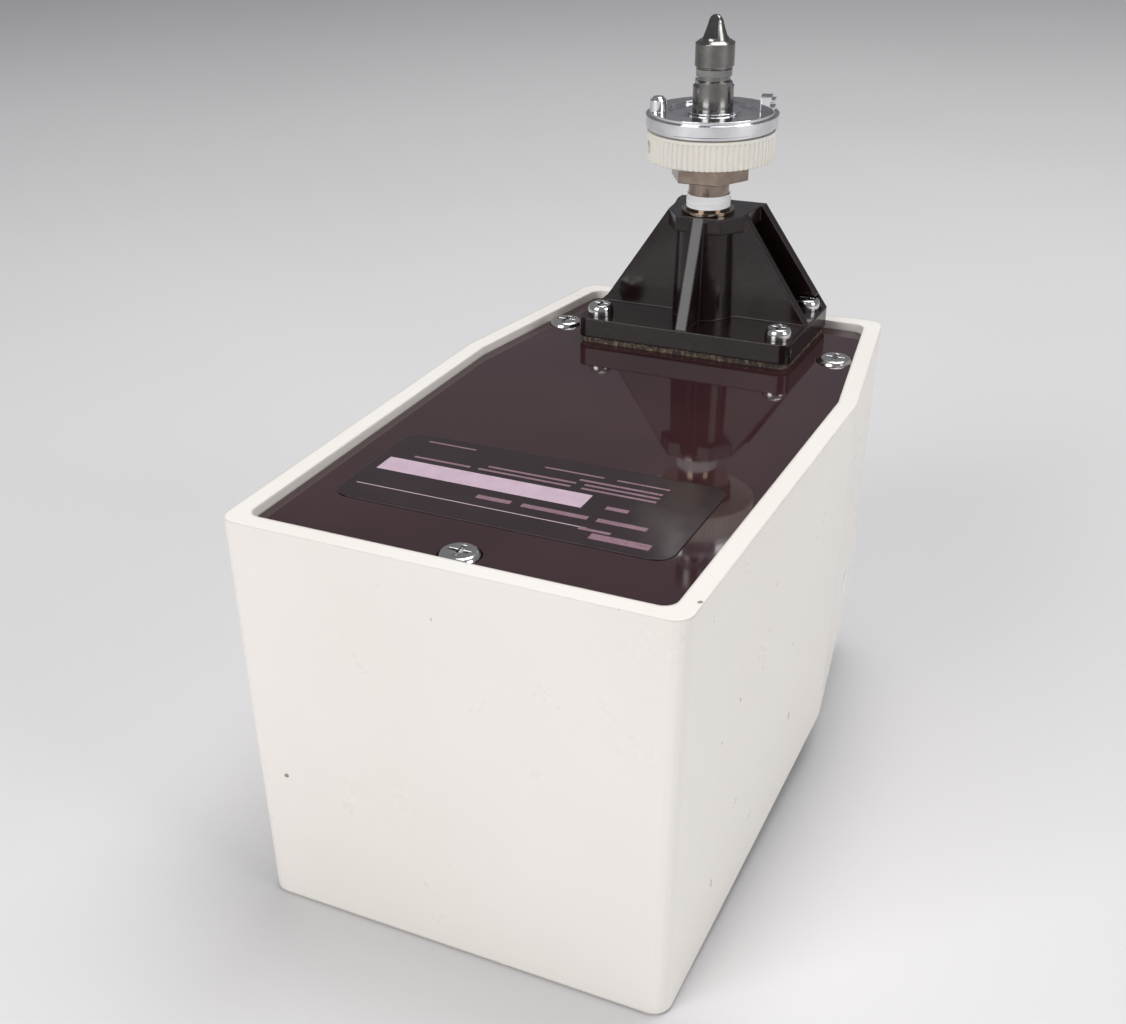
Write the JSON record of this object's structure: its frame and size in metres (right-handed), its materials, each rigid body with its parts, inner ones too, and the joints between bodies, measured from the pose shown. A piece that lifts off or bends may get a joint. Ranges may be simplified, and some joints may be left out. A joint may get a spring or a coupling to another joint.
{
  "type": "suction pump",
  "caption": "Wall-mounted intermittent suction unit: tapered case with recessed back plate, ribbed bracket, rear outlet probe, gauge, control knob and mode selector.",
  "frame": {"origin": "middle of the overall length and width, on the surface that the hood and the two knobs stand on when the unit lies on its control face", "axes": "+Z is the rear, along the wall probe, away from the control face; +Y runs from the wide end, which is the top in use, to the narrow end and the patient port; +X is across, to the user's right when the controls are faced"},
  "size_m": [0.102, 0.19, 0.1755],
  "materials": {
    "shell_plastic": "soft gloss, warm white",
    "panel_laminate": "matt black printed laminate",
    "plate_plastic": "polished, very dark red-brown",
    "black_plastic": "glossy moulded black",
    "knob_plastic": "matt black",
    "label_film": "black film with blank pale bars",
    "ring_plastic": "white nylon",
    "tape": "white thread-seal tape",
    "screw_chrome": "bright plated",
    "adapter_nickel": "nickel-plated brass",
    "disc_chrome": "bright plated",
    "probe_steel": "satin turned steel",
    "steel": "satin",
    "brass": "machined",
    "cast_alloy": "as cast and machined",
    "rubber": "black rubber",
    "seal_grey": "grey seal ring",
    "gasket": "cork-filled rubber",
    "lens": "clear",
    "dial": "white with plain black marks"
  },
  "bodies": {
    "case": {"case_shell": "shell_plastic", "front_panel": "panel_laminate", "back_plate": "plate_plastic", "back_plate_screws": "screw_chrome", "rating_label": "label_film", "bracket_gasket": "gasket", "wall_bracket": "black_plastic", "bracket_screws": "screw_chrome", "bracket_nuts": "steel", "supply_stem": "adapter_nickel", "adapter_body": "adapter_nickel", "thread_tape": "tape", "grip_ring": "ring_plastic", "ring_set_screw": "steel", "index_plate": "disc_chrome", "index_pins": "disc_chrome", "probe_stem": "probe_steel", "probe_head": "probe_steel", "probe_seal": "seal_grey", "gauge_case": "steel", "gauge_clamp": "steel", "gauge_bezel": "knob_plastic", "gauge_lens": "lens", "gauge_dial": "dial", "gauge_capsule": "brass", "gauge_movement": "brass", "regulator_bonnet": "cast_alloy", "regulator_diaphragm": "rubber", "regulator_body": "cast_alloy", "range_spring": "steel", "selector_body": "cast_alloy", "selector_cap": "brass", "panel_nuts": "screw_chrome", "chassis_plate": "steel", "chassis_screws": "screw_chrome", "timing_module": "cast_alloy", "timing_cover": "black_plastic", "timing_screws": "screw_chrome", "reservoir": "brass", "supply_hose": "rubber", "link_hose": "rubber", "timing_hose": "rubber", "gauge_hose": "rubber", "patient_hose": "rubber", "reservoir_hose": "rubber", "patient_port": "disc_chrome", "port_nut": "steel", "port_washer": "rubber"},
    "control": {"control_knob": "knob_plastic", "control_spindle": "steel"},
    "cup": {"spring_cup": "brass"},
    "mode": {"mode_knob": "knob_plastic", "selector_rotor": "brass"},
    "pointer": {"gauge_pointer": "knob_plastic"}
  },
  "joints": [
    {"name": "control_turn", "type": "hinge", "parent": "case", "child": "control", "pos_m": [-0.024, 0.027, 0.01], "axis": [0, 0, 1], "range_deg": [0, 1080]},
    {"name": "cup_travel", "type": "slide", "parent": "case", "child": "cup", "axis": [0, 0, 1], "range_m": [0, 0.003], "deforming": ["range_spring"]},
    {"name": "mode_turn", "type": "hinge", "parent": "case", "child": "mode", "pos_m": [0.024, 0.027, 0.01], "axis": [0, 0, 1], "range_deg": [-60, 60]},
    {"name": "pointer_sweep", "type": "hinge", "parent": "case", "child": "pointer", "pos_m": [0, -0.049, 0.016], "axis": [0, 0, 1], "range_deg": [0, 270], "stiffness_Nm_per_rad": 0.0002}
  ],
  "couplings": [
    {"joint": "cup_travel", "follows": "control_turn", "m_per_rad": 0.00015915}
  ]
}
